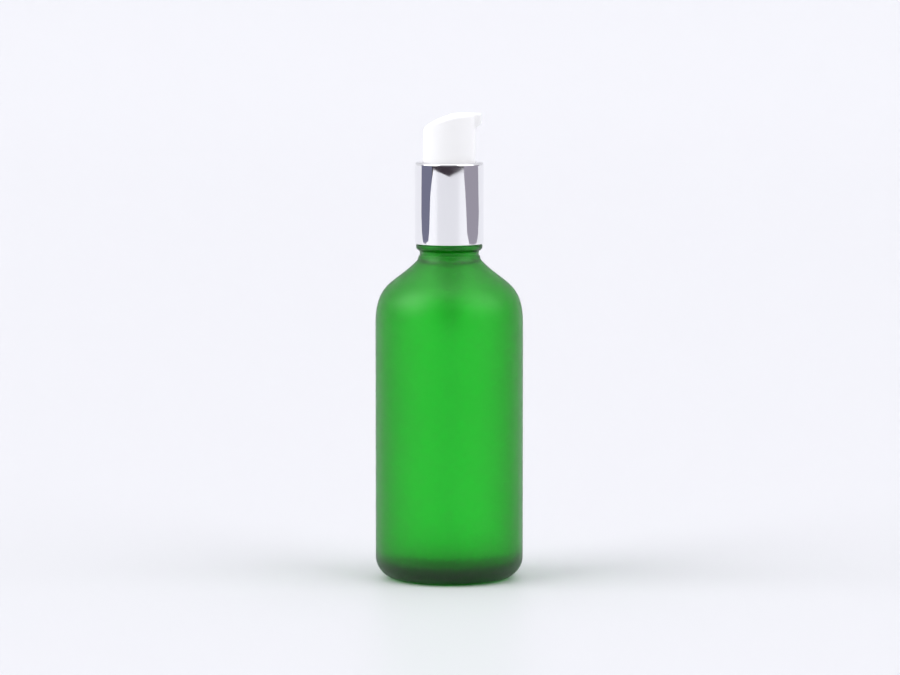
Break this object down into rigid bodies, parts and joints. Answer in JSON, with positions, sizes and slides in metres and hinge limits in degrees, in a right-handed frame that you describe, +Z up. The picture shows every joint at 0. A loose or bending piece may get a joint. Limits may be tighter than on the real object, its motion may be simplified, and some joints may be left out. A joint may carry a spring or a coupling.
{
  "type": "pump oil bottle",
  "caption": "Frosted glass bottle with a round shoulder, a tall mirror-bright screw collar and a slant-topped press pump with a short side spout and dip tube.",
  "frame": {"origin": "centre of the bottle's underside, on the plane it stands on", "axes": "+Z up along the bottle's axis; +X the way the spout points"},
  "size_m": [0.045, 0.045, 0.1421],
  "materials": {
    "green_glass": "green glass with a frosted outside",
    "polished_aluminium": "mirror-bright anodised",
    "white_plastic": "smooth white polypropylene",
    "natural_plastic": "natural translucent polypropylene",
    "seal_plastic": "soft polyethylene",
    "spring_steel": "drawn stainless wire"
  },
  "bodies": {
    "bottle": {"bottle": "green_glass"},
    "pump": {"pump_housing": "natural_plastic", "housing_cap": "natural_plastic", "neck_gasket": "seal_plastic", "return_spring": "spring_steel", "dip_tube": "natural_plastic"},
    "closure": {"collar_shell": "polished_aluminium", "closure_ring": "white_plastic"},
    "plunger": {"stem": "natural_plastic", "valve_post": "white_plastic"},
    "head": {"pump_head": "white_plastic", "nozzle_insert": "white_plastic"},
    "piston": {"piston_seal": "seal_plastic"},
    "ball": {"inlet_ball": "spring_steel"}
  },
  "joints": [
    {"name": "pump_rise", "type": "slide", "parent": "bottle", "child": "pump", "axis": [0, 0, 1], "range_m": [0, 0.006]},
    {"name": "closure_turn", "type": "hinge", "parent": "pump", "child": "closure", "pos_m": [0, 0, 0.1025], "axis": [0, 0, 1], "range_deg": [0, 720]},
    {"name": "head_press", "type": "slide", "parent": "pump", "child": "plunger", "axis": [0, 0, -1], "range_m": [0, 0.005], "stiffness_N_per_m": 1000, "springref_m": -0.006, "deforming": ["return_spring"]},
    {"name": "head_spin", "type": "hinge", "parent": "plunger", "child": "head", "pos_m": [0, 0, 0.122], "axis": [0, 0, 1], "continuous": true},
    {"name": "piston_lag", "type": "slide", "parent": "plunger", "child": "piston", "axis": [0, 0, 1], "range_m": [0, 0.0008]},
    {"name": "ball_lift", "type": "slide", "parent": "pump", "child": "ball", "axis": [0, 0, 1], "range_m": [0, 0.0012]}
  ],
  "couplings": [
    {"joint": "pump_rise", "follows": "closure_turn", "m_per_rad": 0.00047746}
  ]
}
